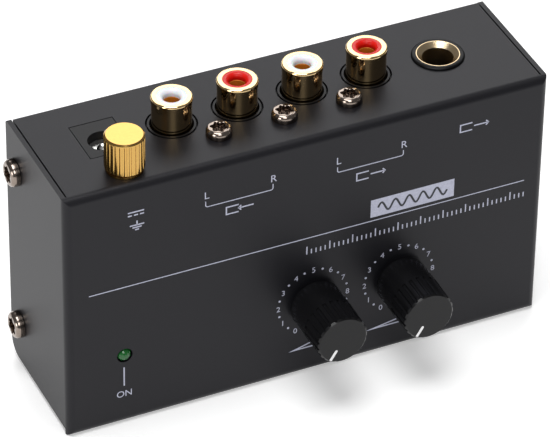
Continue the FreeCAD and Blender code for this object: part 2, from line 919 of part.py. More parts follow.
def pot_body(x):
    """Body on the board, with a round chamber for the rotor."""
    half = pot_width / 2
    top_z = knob_z + pot_width / 2
    front = board_front_y - pot_depth
    body = rounded_box(x - half, x + half, front, board_front_y, top_z - pot_height, top_z, pot_corner, Y)
    chamber = rotor_diameter / 2 + rotor_play
    depth = rotor_thickness + 2 * rotor_play
    body = body.cut(rod(chamber, depth, Vector(x, front, knob_z), Y))
    return one(body)


def pot_bushing(x):
    """Bushing whose flange closes the body and whose bore carries the shaft."""
    r = bushing_diameter / 2
    bore = shaft_diameter / 2 + shaft_play
    t = bushing_flange_thickness
    profile = [
        (bore, 0),
        (bushing_flange / 2, 0),
        (bushing_flange / 2, t),
        (r, t),
        (r, bushing_length - bushing_chamfer),
        (r - bushing_chamfer, bushing_length),
        (bore, bushing_length),
    ]
    return turned(profile, Vector(x, board_front_y - pot_depth, knob_z), Y * -1)


def power_led():
    """Lens with a domed tip and a flange, its tip just through the front panel."""
    r = led_diameter / 2
    tip_y = front_y - led_reach
    body = led_length - r
    t = led_flange_thickness
    profile = [(0, 0), (led_flange / 2, 0), (led_flange / 2, t), (r, t), (r, body)]
    steps = 5
    for i in range(1, steps):
        a = math.radians(90 * i / steps)
        profile.append((r * math.cos(a), body + r * math.sin(a)))
    profile.append((0, led_length))
    return turned(profile, Vector(led_x, tip_y + led_length, led_z), Y * -1)


def led_xs():
    """The two lead positions."""
    return [led_x - led_lead_pitch / 2, led_x + led_lead_pitch / 2]


def led_spacer():
    """Sleeve that holds the light at the height of the panel."""
    front = front_y - led_reach + led_length
    length = board_front_y - front
    base = Vector(led_x, front, led_z)
    sleeve = rod(spacer_diameter / 2, length, base, Y)
    for x in led_xs():
        sleeve = sleeve.cut(rod(led_lead / 2 + 2 * thread_fit, length, Vector(x, front, led_z), Y))
    return one(sleeve)


def led_leads():
    """Two leads from the lens through the sleeve and the board."""
    front = front_y - led_reach + led_length
    made = []
    for x in led_xs():
        made.append(rod(led_lead / 2, tail_tip_y - front, Vector(x, front, led_z), Y))
    return Part.makeCompound(made)


def board_holes():
    """Every hole in the board: (x, z, diameter)."""
    holes = []
    for x in socket_xs:
        holes.append((x, tail_z + tail_size / 2, tail_hole))
    pin_z = case_height - power_length - tail_size / 2
    holes.append((power_x, pin_z, tail_hole))
    for x in led_xs():
        holes.append((x, led_z, led_lead + 2 * hole_clearance))
    for x in pillar_xs:
        holes.append((x, pillar_z, pillar_thread + 2 * hole_clearance))
    return holes


def circuit_board():
    """Board behind the connectors and controls, on the front face of which they stand."""
    w = board_half_width
    board = rounded_box(-w, w, board_front_y, board_back_y, board_bottom, board_top, pot_corner, Y)
    for x, z, diameter in board_holes():
        board = board.cut(rod(diameter / 2, board_thickness, Vector(x, board_front_y, z), Y))
    return one(board)


def board_pillars():
    """Two hexagonal pillars pressed to the inside of the front panel."""
    made = []
    length = board_front_y - inner_front_y
    for x in pillar_xs:
        base = Vector(x, inner_front_y, pillar_z)
        bar = hexagon(pillar_flats, length, base, Y)
        thread = Vector(x, board_front_y - board_screw_length, pillar_z)
        made.append(bar.cut(rod(pillar_thread / 2 + thread_fit, board_screw_length, thread, Y)))
    return Part.makeCompound(made)


def board_screws():
    """Two screws through the board into the pillars."""
    made = []
    for x in pillar_xs:
        base = Vector(x, board_back_y, pillar_z)
        made.append(screw(board_screw_head, board_screw_head_height, pillar_thread,
                          board_screw_length + board_thickness - board_screw_gap, base, Y))
    return Part.makeCompound(made)


def capacitor(x, z):
    """Can capacitor with a pressed groove near its base."""
    r = capacitor_diameter / 2
    h = capacitor_height
    profile = [
        (0, 0),
        (r, 0),
        (r, capacitor_groove_z - capacitor_groove_half),
        (r - capacitor_groove, capacitor_groove_z),
        (r, capacitor_groove_z + capacitor_groove_half),
        (r, h - capacitor_edge),
        (r - capacitor_edge, h),
        (0, h),
    ]
    return turned(profile, Vector(x, board_front_y, z), Y * -1)


def capacitors():
    """Rows of can capacitors beside the board's two pillars."""
    made = []
    for z in (part_row_z, part_row_z + part_pitch):
        for x in (pillar_xs[0] + part_from_pillar, pillar_xs[0] + part_from_pillar + part_pitch,
                  pillar_xs[1] - part_from_pillar):
            made.append(capacitor(x, z))
    return Part.makeCompound(made)


def chip(x, z):
    """Small-outline chip with four legs on each side, raised off the board by its legs."""
    half_w = chip_width / 2
    half_h = chip_height / 2
    y = board_front_y
    made = box(x - half_w, x + half_w, y - chip_thickness, y - chip_lift, z - half_h, z + half_h)
    for side in (-1, 1):
        for i in range(4):
            px = x + (i - 1.5) * chip_leg_pitch
            zs = sorted([z + side * (half_h - chip_leg_bite), z + side * (half_h + chip_leg_reach)])
            leg = box(px - chip_leg / 2, px + chip_leg / 2, y - chip_leg_thickness, y, zs[0], zs[1])
            made = made.fuse(leg)
    return one(made)


def chips():
    """A row of chips above the controls."""
    xs = [chip_row_x + i * chip_row_pitch for i in range(chip_count)]
    return Part.makeCompound([chip(x, chip_row_z) for x in xs])


def film_capacitors():
    """A stack of upright film capacitors, each a rounded block."""
    half = film_length / 2
    t = film_thickness / 2
    y = board_front_y
    made = []
    for i in range(film_count):
        z = film_row_z + i * film_pitch
        made.append(rounded_box(film_x - half, film_x + half, y - film_height, y, z - t, z + t,
                                film_round, Y))
    return Part.makeCompound(made)


def regulator():
    """Regulator with a soldered tab and three legs."""
    x = regulator_x
    z = regulator_z
    half = regulator_width / 2
    half_h = regulator_height / 2
    y = board_front_y
    body = box(x - half, x + half, y - regulator_thickness, y, z - half_h, z + half_h)
    tab_half = half - regulator_tab_inset
    made = body.fuse(box(x - tab_half, x + tab_half, y - regulator_leg_thickness, y,
                         z + half_h, z + half_h + regulator_tab))
    for i in (-1, 0, 1):
        middle = x + i * regulator_leg_pitch
        leg = box(middle - regulator_leg / 2, middle + regulator_leg / 2, y - regulator_leg_thickness, y,
                  z - half_h - regulator_leg_length, z - half_h)
        made = made.fuse(leg)
    return one(made)


save("case_tray", pierced_tray())
save("rear_cover", rear_cover())
save("cover_screws", cover_screws())
save("rubber_feet", rubber_feet())
save("circuit_board", circuit_board())
save("board_pillars", board_pillars())
save("board_screws", board_screws())
save("rca_block_housing", socket_block())
save("rca_block_screws", block_screws())
for number, x in enumerate(socket_xs, start=1):
    save("rca_shell_" + str(number), socket_shell(x))
    save("rca_insulator_" + str(number), socket_insulator(x))
    save("rca_contact_" + str(number), socket_contact(x))
save("dc_jack_housing", power_housing())
save("dc_jack_contact", power_contact())
save("dc_jack_pin", power_pin_piece())
save("phone_jack_housing", phone_housing())
save("phone_jack_ferrule", phone_ferrule())
save("phone_jack_springs", phone_springs())
save("ground_stud", ground_stud())
save("ground_inner_nut", ground_inner_nut())
save("ground_lug", ground_lug())
save("ground_washer", ground_washer())
save("ground_thumb_nut", thumb_nut())
for name, x in zip(knob_names, knob_xs):
    save(name + "_pot_body", pot_body(x))
    save(name + "_pot_bushing", pot_bushing(x))
    save(name + "_pot_shaft", pot_shaft(x))
    save(name + "_knob", knob(x))
    save(name + "_knob_pointer", pointer(x))
save("power_led", power_led())
save("led_spacer", led_spacer())
save("led_leads", led_leads())
save("electrolytic_capacitors", capacitors())
save("integrated_circuits", chips())
save("film_capacitors", film_capacitors())
save("voltage_regulator", regulator())
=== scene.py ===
import bpy
import math
import numpy as np
from mathutils import Matrix, Vector


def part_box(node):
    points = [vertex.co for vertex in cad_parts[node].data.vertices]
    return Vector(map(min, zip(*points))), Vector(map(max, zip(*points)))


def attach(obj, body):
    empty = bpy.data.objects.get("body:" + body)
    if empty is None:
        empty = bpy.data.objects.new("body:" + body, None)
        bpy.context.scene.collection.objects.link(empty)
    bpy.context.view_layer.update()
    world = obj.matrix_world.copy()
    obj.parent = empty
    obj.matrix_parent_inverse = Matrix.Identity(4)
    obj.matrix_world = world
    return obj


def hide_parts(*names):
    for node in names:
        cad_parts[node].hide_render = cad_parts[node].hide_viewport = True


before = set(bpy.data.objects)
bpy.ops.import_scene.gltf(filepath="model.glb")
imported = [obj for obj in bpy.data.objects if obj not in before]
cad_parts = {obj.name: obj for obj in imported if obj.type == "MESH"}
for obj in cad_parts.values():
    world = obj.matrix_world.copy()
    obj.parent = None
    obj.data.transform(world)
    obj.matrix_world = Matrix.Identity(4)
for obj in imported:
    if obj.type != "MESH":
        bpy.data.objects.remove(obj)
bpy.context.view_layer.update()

# Camera
# It looks down on the front and left faces through a long lens. Its turn, height and
# distance were fitted to the edges of the case in the photograph.
MM = 0.001
azimuth = math.radians(-25.194)
elevation = math.radians(37.071)
roll = math.radians(0.954)
camera_distance = 864.13 * MM
camera_right = -0.265 * MM
camera_up = 22.867 * MM
camera_lens = 276.95

towards = Vector((math.sin(azimuth) * math.cos(elevation),
                  -math.cos(azimuth) * math.cos(elevation),
                  math.sin(elevation)))
level_right = (-towards).cross(Vector((0, 0, 1))).normalized()
level_up = level_right.cross(-towards)
right = level_right * math.cos(roll) + level_up * math.sin(roll)
up = level_up * math.cos(roll) - level_right * math.sin(roll)
camera = bpy.data.objects.new("camera", bpy.data.cameras.new("camera"))
camera.data.lens = camera_lens
camera.data.sensor_width = 36.0
camera.data.clip_start = 0.05
camera.matrix_world = Matrix.Translation(
    towards * camera_distance + right * camera_right + up * camera_up
) @ Matrix((right, up, towards)).transposed().to_4x4()
bpy.context.scene.collection.objects.link(camera)
bpy.context.scene.camera = camera


# Floor
# A photographer's light table: white acrylic lit from below, so that it stays nearly white
# under and all round the object.
def linear(code):
    """sRGB hex to linear: c / 12.92 up to 0.04045, above it ((c + 0.055) / 1.055) to the power 2.4."""
    shares = [int(code[i:i + 2], 16) / 255 for i in (1, 3, 5)]
    return [c / 12.92 if c <= 0.04045 else ((c + 0.055) / 1.055) ** 2.4 for c in shares] + [1.0]


def add_node(tree, kind, settings, links=None, **choices):
    """One node: choices set its menus, settings its sockets, and links join sockets to (node, output)."""
    made = tree.nodes.new(kind)
    for name, value in choices.items():
        setattr(made, name, value)
    for name, value in settings.items():
        made.inputs[name].default_value = value
    for name, (source, output) in (links or {}).items():
        tree.links.new(source.outputs[output], made.inputs[name])
    return made


def start_material(name, **settings):
    """A material with its Principled shader set, and the shader's tree and object coordinates."""
    made = bpy.data.materials.new(name)
    made.use_nodes = True
    tree = made.node_tree
    shader = tree.nodes["Principled BSDF"]
    for socket, value in settings.items():
        shader.inputs[socket.replace("_", " ")].default_value = value
    return made, tree, shader, add_node(tree, "ShaderNodeTexCoord", {})


def dapple(tree, shader, pattern, dark, light, ends=(0.0, 1.0), sockets=("Base Color",), relief=None):
    """Two tints mixed by a pattern's value between two ends, and a relief of some strength and depth."""
    tint = add_node(tree, "ShaderNodeValToRGB", {}, {"Fac": (pattern, "Fac")})
    for stop, place, code in zip(tint.color_ramp.elements, ends, (dark, light)):
        stop.position = place
        stop.color = linear(code)
    for socket in sockets:
        tree.links.new(tint.outputs["Color"], shader.inputs[socket])
    if relief:
        bump = add_node(tree, "ShaderNodeBump", {"Strength": relief[0], "Distance": relief[1]},
                        {"Height": (pattern, "Fac")})
        tree.links.new(bump.outputs["Normal"], shader.inputs["Normal"])


def grid_mesh(name, points, closed_u=False, closed_v=False):
    """A mesh on a grid of points, rows by columns, with each cell a quad; closed directions wrap round."""
    rows, columns = points.shape[:2]
    r = np.arange(rows if closed_u else rows - 1)
    c = np.arange(columns if closed_v else columns - 1)
    i, j = np.meshgrid(r, c, indexing="ij")
    below = (i + 1) % rows
    beside = (j + 1) % columns
    quads = np.stack([i * columns + j, i * columns + beside,
                      below * columns + beside, below * columns + j], axis=-1)
    mesh = bpy.data.meshes.new(name)
    mesh.from_pydata(points.reshape(-1, 3).tolist(), [], quads.reshape(-1, 4).tolist())
    made = bpy.data.objects.new(name, mesh)
    bpy.context.scene.collection.objects.link(made)
    return made


floor_reach = 1.6
floor_drop = 0.05 * MM
steps = np.linspace(-floor_reach, floor_reach, 9)
floor_x, floor_y = np.meshgrid(steps, steps, indexing="xy")
floor = grid_mesh("floor", np.stack([floor_x, floor_y, 0 * floor_x - floor_drop], axis=-1))

# Opal acrylic: milky white with a dull sheen, faintly cloudy, glowing a little from below.
acrylic, tree, shader, coords = start_material("white_opal_acrylic", Roughness=0.8, Emission_Strength=0.3)
clouds = add_node(tree, "ShaderNodeTexNoise", {"Scale": 1 / (33.3 * MM), "Detail": 2.0},
                  {"Vector": (coords, "Object")})
dapple(tree, shader, clouds, "#f4f4f4", "#fafafa", sockets=("Base Color", "Emission Color"))
floor.data.materials.append(acrylic)


# Studio light
# A dim white room with one large softbox behind the object, which shines back off every level
# surface towards the camera, and three more: above, at the left and beside the camera.
bpy.context.scene.view_settings.view_transform = "Standard"
world = bpy.data.worlds.new("studio")
world.use_nodes = True
world.node_tree.nodes["Background"].inputs["Color"].default_value = linear("#ffffff")
world.node_tree.nodes["Background"].inputs["Strength"].default_value = 0.18
bpy.context.scene.world = world


def softbox(name, place, aim, width, height, watts):
    """A rectangular area light at a place, turned to face a point."""
    light = bpy.data.lights.new(name, "AREA")
    light.shape = "RECTANGLE"
    light.size = width
    light.size_y = height
    light.energy = watts
    made = bpy.data.objects.new(name, light)
    made.location = place
    made.rotation_euler = (Vector(aim) - Vector(place)).to_track_quat("-Z", "Y").to_euler()
    bpy.context.scene.collection.objects.link(made)


softbox("softbox_behind", (0.30, 0.62, 0.55), (0, 0, 0.05), width=0.75, height=0.42, watts=2.6)
softbox("softbox_above", (-0.1, -0.05, 0.9), (0, 0, 0), width=0.5, height=0.5, watts=5.4)
softbox("softbox_left", (-0.7, -0.35, 0.25), (0, 0, 0.03), width=0.25, height=0.25, watts=1.2)
softbox("softbox_front", (-0.20, -0.62, 0.55), (0, 0, 0.05), width=0.3, height=0.3, watts=1.5)


# Case tray and rear cover
# Bent steel sheet, one millimetre thick, with a black powder coat baked on. The coat is
# satin, with a fine even grain that breaks up the light.
def dress(material, *names):
    """Gives CAD nodes a material in place of their plain one."""
    for name in names:
        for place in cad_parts[name].material_slots:
            place.material = material


# Powder coat: near black with a cold cast, and its grains stand up very slightly.
coat_grain = 0.16 * MM
black_coat, tree, shader, coords = start_material("black_powder_coat", Roughness=0.42,
                                                  Specular_IOR_Level=0.26,
                                                  Specular_Tint=(0.96, 0.95, 1.0, 1.0))
grains = add_node(tree, "ShaderNodeTexNoise", {"Scale": 1 / coat_grain, "Detail": 2.0, "Roughness": 0.6},
                  {"Vector": (coords, "Object")})
dapple(tree, shader, grains, "#0f0f12", "#17171b", ends=(0.3, 0.75), relief=(0.35, 0.02 * MM))
dress(black_coat, "case_tray", "rear_cover")

# Panel print
# Screen printed ink, pale blue grey, a few hundredths of a millimetre thick: dials with plain
# numbers, a scale, brackets with single letters, and simple signs for what goes where.
panel_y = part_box("case_tray")[0].y
ink_thickness = 0.03 * MM
line_sunk = 0.5
letter_sunk = 0.1
ink_line = 0.28
fine_line = 0.2

# Ink from a mesh screen: an even pale film, a little thin where the grain of the coat stands up.
ink, tree, shader, coords = start_material("screen_printed_ink", Roughness=0.55)
film = add_node(tree, "ShaderNodeTexNoise", {"Scale": 1 / (2 * coat_grain), "Detail": 2.0},
                {"Vector": (coords, "Object")})
dapple(tree, shader, film, "#9a9cb0", "#c3c5d6")

# Where the pale box is left open the black coat shows: near black, with the coat's own grain.
dark_ink, tree, shader, coords = start_material("dark_panel_shows_through", Roughness=0.6)
grains = add_node(tree, "ShaderNodeTexNoise", {"Scale": 1 / coat_grain, "Detail": 2.0},
                  {"Vector": (coords, "Object")})
dapple(tree, shader, grains, "#1e2026", "#2c2e36")


def wear(piece, material, body, node=None):
    """Gives a new piece its material and body, and hides the CAD node that it stands for, if one is given.
    """
    piece.data.materials.clear()
    piece.data.materials.append(material)
    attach(piece, body)
    if node:
        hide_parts(node)


def join(name, pieces):
    """One closed object from several, with its normals turned outwards."""
    bpy.ops.object.select_all(action="DESELECT")
    for piece in pieces:
        piece.select_set(True)
    bpy.context.view_layer.objects.active = pieces[0]
    if len(pieces) > 1:
        bpy.ops.object.join()
    made = bpy.context.view_layer.objects.active
    bpy.ops.object.mode_set(mode="EDIT")
    bpy.ops.mesh.select_all(action="SELECT")
    bpy.ops.mesh.remove_doubles(threshold=1e-7)
    bpy.ops.mesh.fill_holes(sides=0)
    bpy.ops.mesh.normals_make_consistent(inside=False)
    bpy.ops.object.mode_set(mode="OBJECT")
    made.name = name
    return made


def on_panel(name, strokes):
    """One printed piece from its strokes, fixed to the case."""
    wear(join(name, strokes), ink, "case")


def ribbon(name, path, width, closed=False):
    """A printed line: a flat box section carried along a path of (x, z), all in millimetres.

    At each point the section lies across the mean of the two runs that meet there, and is
    widened by one over the cosine of half the turn, so that corners are mitred.
    """
    p = np.array(path, float) * MM
    ahead = np.roll(p, -1, axis=0) - p
    behind = p - np.roll(p, 1, axis=0)
    if not closed:
        ahead[-1] = behind[-1]
        behind[0] = ahead[0]
    ahead /= np.linalg.norm(ahead, axis=1)[:, None]
    behind /= np.linalg.norm(behind, axis=1)[:, None]
    across = np.stack([-(ahead + behind)[:, 1], (ahead + behind)[:, 0]], axis=1)
    across /= np.linalg.norm(across, axis=1)[:, None]
    cosine = np.abs(np.sum(across * np.stack([-ahead[:, 1], ahead[:, 0]], axis=1), axis=1))
    reach = across * (width * MM / 2 / cosine)[:, None]
    back = np.full(len(p), panel_y + line_sunk * ink_thickness)
    front = np.full(len(p), panel_y - ink_thickness)
    corners = [(reach, back), (reach, front), (-reach, front), (-reach, back)]
    sides = [np.stack([p[:, 0] + r[:, 0], y, p[:, 1] + r[:, 1]], axis=1) for r, y in corners]
    return grid_mesh(name, np.stack(sides, axis=1), closed_u=closed, closed_v=True)


def lettering(text, x, z, height):
    """Numbers or letters as a thin solid mesh on the panel, centred on (x, z) in millimetres."""
    curve = bpy.data.curves.new("lettering", "FONT")
    curve.body = text
    curve.size = 1.0
    curve.extrude = 0.5
    holder = bpy.data.objects.new("lettering", curve)
    bpy.context.scene.collection.objects.link(holder)
    bpy.context.view_layer.update()
    mesh = bpy.data.meshes.new_from_object(holder)
    bpy.data.objects.remove(holder)
    points = np.empty(len(mesh.vertices) * 3)
    mesh.vertices.foreach_get("co", points)
    points = points.reshape(-1, 3)
    low = points.min(axis=0)
    high = points.max(axis=0)
    scale = height * MM / (high[1] - low[1])
    across = (points[:, 0] - (low[0] + high[0]) / 2) * scale + x * MM
    upward = (points[:, 1] - (low[1] + high[1]) / 2) * scale + z * MM
    depth = panel_y - ink_thickness * (points[:, 2] - low[2] - letter_sunk)
    mesh.vertices.foreach_set("co", np.stack([across, depth, upward], axis=1).ravel())
    made = bpy.data.objects.new("lettering", mesh)
    bpy.context.scene.collection.objects.link(made)
    return made


def arc(x, z, radius, start, end, count):
    """Points (x, z) on a circle's arc, from one angle to another in degrees."""
    angle = np.radians(np.linspace(start, end, count))
    return np.stack([x + radius * np.cos(angle), z + radius * np.sin(angle)], axis=1)


def middle(name):
    """The middle of a CAD node's box, in millimetres."""
    low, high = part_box(name)
    return (low + high) / 2 / MM


# Dials: numbers from 0 at seven o'clock to 10 at five o'clock, with dots half way between.
dial_radius = 7.6
dial_start = 240.0
dial_step = -30.0
dial_last = 10
number_height = 1.25
dot_radius = 0.25
for control in ("level", "volume"):
    knob = middle(control + "_knob")
    turns = np.radians(dial_start + dial_step * np.linspace(0, dial_last, 2 * dial_last + 1))
    spots = np.stack([knob.x + dial_radius * np.cos(turns), knob.z + dial_radius * np.sin(turns)], axis=1)
    marks = [lettering(str(number), x, z, number_height) for number, (x, z) in enumerate(spots[::2])]
    for x, z in spots[1::2]:
        marks.append(ribbon("dot", arc(x, z, dot_radius / 2, 0, 330, 12), dot_radius, closed=True))
    on_panel(control + "_dial_print", marks)

# Power light: a short line down from the lens to the letters ON.
light_shift = -0.2
light_x = middle("power_led").x + light_shift
light_line_high, light_line_low = 14.1, 9.5
on_z, on_height = 7.5, 1.5
on_panel("power_print", [
    ribbon("line", [(light_x, light_line_high), (light_x, light_line_low)], ink_line),
    lettering("ON", light_x, on_z, on_height),
])

# Long line across the panel, and the pale box that stands on it.
rule_left, rule_right = -47.0, 47.5
rule_z = 34.0
on_panel("long_rule", [ribbon("rule", [(rule_left, rule_z), (rule_right, rule_z)], fine_line)])

box_left, box_right = 13.3, 31.7
box_low, box_high = 34.85, 39.1
box_z = (box_low + box_high) / 2
on_panel("pale_box", [ribbon("plate", [(box_left, box_z), (box_right, box_z)], box_high - box_low)])

# The wave in the pale box is where the coat shows, so it is drawn in the coat's black on top
# of the box's ink.
wave_margin = 1.6
wave_height = 1.05
wave_count = 5
wave_line = 0.42
wave_lift = 1.5
wave_x = np.linspace(box_left + wave_margin, box_right - wave_margin, 121)
wave_turn = np.linspace(0, 2 * math.pi * wave_count, 121)
wave_path = np.stack([wave_x, box_z + wave_height * np.sin(wave_turn)], axis=1)
wave = join("box_wave", [ribbon("wave", wave_path, wave_line)])
wave.data.transform(Matrix.Translation((0, -wave_lift * ink_thickness, 0)))
wear(wave, dark_ink, "case")

# A plain scale of ticks below the long line, each fifth one taller.
tick_left, tick_right = -0.5, 47.5
tick_low = 30.0
tick_short, tick_tall = 1.1, 1.9
tick_count = 49
tick_line = 0.26
ticks = []
for i, x in enumerate(np.linspace(tick_left, tick_right, tick_count)):
    tick_high = tick_low + (tick_short if i % 5 else tick_tall)
    ticks.append(ribbon("tick", [(x, tick_low), (x, tick_high)], tick_line))
on_panel("tick_scale", ticks)

# Brackets under the two pairs of sockets, each with its letters L and R over its ends.
corner = 0.45
bracket_low = 48.25
letter_height = 1.6
l_shift, l_z = 0.3, 51.0
r_shift, r_z = 0.2, 50.9
for name, left_end, right_end, end_z in (("input", -22.4, -8.1, 49.6), ("output", 5.75, 20.05, 49.5)):
    path = np.concatenate([[(left_end, end_z)],
                           arc(left_end + corner, bracket_low + corner, corner, 180, 270, 6),
                           arc(right_end - corner, bracket_low + corner, corner, 270, 360, 6),
                           [(right_end, end_z)]])
    on_panel(name + "_bracket", [
        ribbon("bracket", path, fine_line),
        lettering("L", left_end + l_shift, l_z, letter_height),
        lettering("R", right_end + r_shift, r_z, letter_height),
    ])

# Signs for the sockets: an arrow into an open frame for in, an arrow out of it for out.
frame_reach = 3.0
frame_length = 2.6
frame_half = 0.85
arrow_half = 1.6
arrow_head = 0.55
for name, x, z, way, arrow_shift in (("input_sign", -15.0, 46.0, -1, 1.2),
                                     ("output_sign", 13.0, 45.8, 1, 1.6),
                                     ("jack_sign", 35.5, 51.0, 1, 1.6)):
    back = x - frame_reach
    front = back + frame_length
    tail = x + arrow_shift - way * arrow_half
    tip = x + arrow_shift + way * arrow_half
    barb = tip - way * arrow_head
    on_panel(name, [
        ribbon("shaft", [(tail, z), (tip, z)], ink_line),
        ribbon("head", [(barb, z + arrow_head), (tip, z), (barb, z - arrow_head)], ink_line),
        ribbon("frame", [(front, z + frame_half), (back, z + frame_half),
                         (back, z - frame_half), (front, z - frame_half)], ink_line),
    ])

# Direct current sign under the power socket: a bar over three dashes.
dc_x, dc_bar_z, dc_dash_z = -37.0, 51.6, 50.85
dc_half = 1.7
dash_half = 0.42
dash_pitch = 1.25
dc_strokes = [ribbon("bar", [(dc_x - dc_half, dc_bar_z), (dc_x + dc_half, dc_bar_z)], ink_line)]
for x in (dc_x - dash_pitch, dc_x, dc_x + dash_pitch):
    dc_strokes.append(ribbon("dash", [(x - dash_half, dc_dash_z), (x + dash_half, dc_dash_z)], ink_line))
on_panel("direct_current_sign", dc_strokes)

# Earth sign under it: a stem on three bars, each shorter than the one above.
earth_x, earth_z = -36.8, 48.4
earth_stem = 1.0
earth_gap = 0.55
earth_strokes = [ribbon("stem", [(earth_x, earth_z + earth_stem), (earth_x, earth_z)], ink_line)]
for i, half in enumerate((1.5, 0.95, 0.4)):
    bar_z = earth_z - earth_gap * i
    earth_strokes.append(ribbon("bar", [(earth_x - half, bar_z), (earth_x + half, bar_z)], ink_line))
on_panel("earth_sign", earth_strokes)

# Rising wedges below the two knobs, for less and more.
wedge_low, wedge_high = 6.4, 7.9
for name, x, half in (("level_sign", -0.2, 2.8), ("volume_sign", 18.9, 4.3)):
    outline = [(x - half, wedge_low), (x + half, wedge_low), (x + half, wedge_high)]
    on_panel(name, [ribbon("wedge", outline, ink_line, closed=True)])


# Phono sockets
# Turned brass shells with gold plate, polished bright. Each holds an insert of white or red
# plastic, pressed in flush with its rim, and the insert holds a gold contact tube.
def plated_metal(name, dark, light, grain, detail, smooth, rough):
    """Plated metal: two tints in cloudy patches, smoother where dark and rougher where light."""
    made, tree, shader, coords = start_material(name, Metallic=1.0)
    patches = add_node(tree, "ShaderNodeTexNoise", {"Scale": 1 / grain, "Detail": detail},
                       {"Vector": (coords, "Object")})
    dapple(tree, shader, patches, dark, light)
    shine = add_node(tree, "ShaderNodeMapRange", {"To Min": smooth, "To Max": rough},
                     {"Value": (patches, "Fac")})
    tree.links.new(shine.outputs["Result"], shader.inputs["Roughness"])
    return made


def moulded_plastic(name, dark, light, roughness, grain, depth, **more):
    """Moulded plastic: two close tints mixed in soft clouds, and a bump from the tool's texture."""
    made, tree, shader, coords = start_material(name, Roughness=roughness, **more)
    clouds = add_node(tree, "ShaderNodeTexNoise", {"Scale": 1 / grain, "Detail": 2.0},
                      {"Vector": (coords, "Object")})
    dapple(tree, shader, clouds, dark, light, relief=(0.3, depth))
    return made


def turned(name, profile, centre, count=96):
    """A turned piece: (radius, height) pairs in millimetres carried round an upright axis.

    A point at angle a is (x + radius cos a, y + radius sin a, height). The profile closes on
    itself, so the piece is a ring.
    """
    r, h = np.array(profile, float).T[:, :, None]
    angle = np.linspace(0, 2 * math.pi, count, endpoint=False)[None, :]
    points = np.stack([centre.x + r * np.cos(angle), centre.y + r * np.sin(angle), h + 0 * angle], axis=-1)
    return join(name, [grid_mesh(name, points * MM, closed_u=True, closed_v=True)])


def rounded(r, h, radius, start, end, count):
    """Points (radius, height) along a rounded edge about a centre, between two angles in degrees."""
    return [tuple(point) for point in arc(r, h, radius, start, end, count)]


# Gold over turned brass: a pale warm yellow, mirror bright, a little uneven.
gold = plated_metal("gold_plated_brass", "#e4c48c", "#edcf9d", 0.9 * MM, 3.0, 0.04, 0.1)

# Thin gold flash inside the tube: deeper and browner than the shell, and duller.
contact_gold, tree, shader, coords = start_material("gold_flashed_contact", Metallic=0.35, Roughness=0.45)
flash = add_node(tree, "ShaderNodeTexNoise", {"Scale": 1 / (0.5 * MM), "Detail": 3.0},
                 {"Vector": (coords, "Object")})
dapple(tree, shader, flash, "#cf7a1c", "#e39432")

# White and red polypropylene: smooth and glossy, and a little light goes into them.
light_reach = 1.5 * MM
white_insert = moulded_plastic("white_polypropylene", "#e0e0e4", "#ececf0", 0.3, 1.5 * MM, 0.01 * MM,
                               Subsurface_Weight=0.5, Subsurface_Scale=light_reach)
red_insert = moulded_plastic("red_polypropylene", "#c8120a", "#d81c12", 0.3, 1.5 * MM, 0.01 * MM,
                             Subsurface_Weight=0.5, Subsurface_Scale=light_reach,
                             Specular_IOR_Level=0.3)

# The shell has a rounded rim, a land below it and a flange that seats in the socket block. The
# insert's bell leads down to a collar at the mouth of the contact tube.
rim_round = 0.38
rim_mouth = 3.0
rim_depth = 1.0
land_height = 1.1
waist_step = 0.12
shell_wall = 0.6
flange_overhang = 0.35
flange_thickness = 1.0
flange_depth = 2.2
bell_radius = 0.85
bell_bore = 1.7
flush_gap = 0.05
mouth_depth = 1.45
mouth_chamfer = 0.1
tube_wall = 0.45
flange_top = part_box("case_tray")[1].z / MM - flange_depth
for number in range(1, 5):
    low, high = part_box("rca_shell_%d" % number)
    centre = middle("rca_shell_%d" % number)
    top = high.z / MM
    bottom = low.z / MM
    flange = (high.x - low.x) / 2 / MM
    land = flange - flange_overhang
    land_low = top - land_height
    waist = land - waist_step
    bore = land - shell_wall
    rim_low = top - rim_depth
    face = top - flush_gap
    mouth = top - mouth_depth

    shell = turned("rca_shell_%d_turned" % number,
                   [(rim_mouth, rim_low), (rim_mouth, top)]
                   + rounded(land - rim_round, top - rim_round, rim_round, 90, 0, 6)
                   + [(land, land_low), (waist, land_low - waist_step), (waist, flange_top),
                      (flange, flange_top), (flange, flange_top - flange_thickness),
                      (waist, flange_top - flange_thickness), (waist, bottom), (bore, bottom),
                      (bore, rim_low)], centre)
    wear(shell, gold, "case", "rca_shell_%d" % number)

    tube_low, tube_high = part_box("rca_contact_%d" % number)
    tube_top = tube_high.z / MM
    tube_outer = (tube_high.x - tube_low.x) / 2 / MM
    tube_inner = tube_outer - tube_wall
    insert = turned("rca_insulator_%d_bell" % number,
                    [(bore, bottom), (bore, rim_low), (rim_mouth, rim_low), (rim_mouth, face)]
                    + rounded(bell_bore + bell_radius, face - bell_radius, bell_radius, 90, 180, 8)
                    + [(bell_bore, mouth), (tube_outer, mouth), (tube_outer, bottom)], centre)
    plastic, slot = (white_insert, "white_plastic") if number % 2 else (red_insert, "red_plastic")
    wear(insert, plastic, "case", "rca_insulator_%d" % number)

    dress(contact_gold, "rca_contact_%d" % number)
    collar = turned("rca_contact_%d_mouth" % number,
                    [(tube_inner, tube_top), (tube_outer, tube_top), (tube_outer, mouth),
                     (tube_inner + mouth_chamfer, mouth), (tube_inner, mouth - mouth_chamfer)], centre)
    wear(collar, contact_gold, "case")

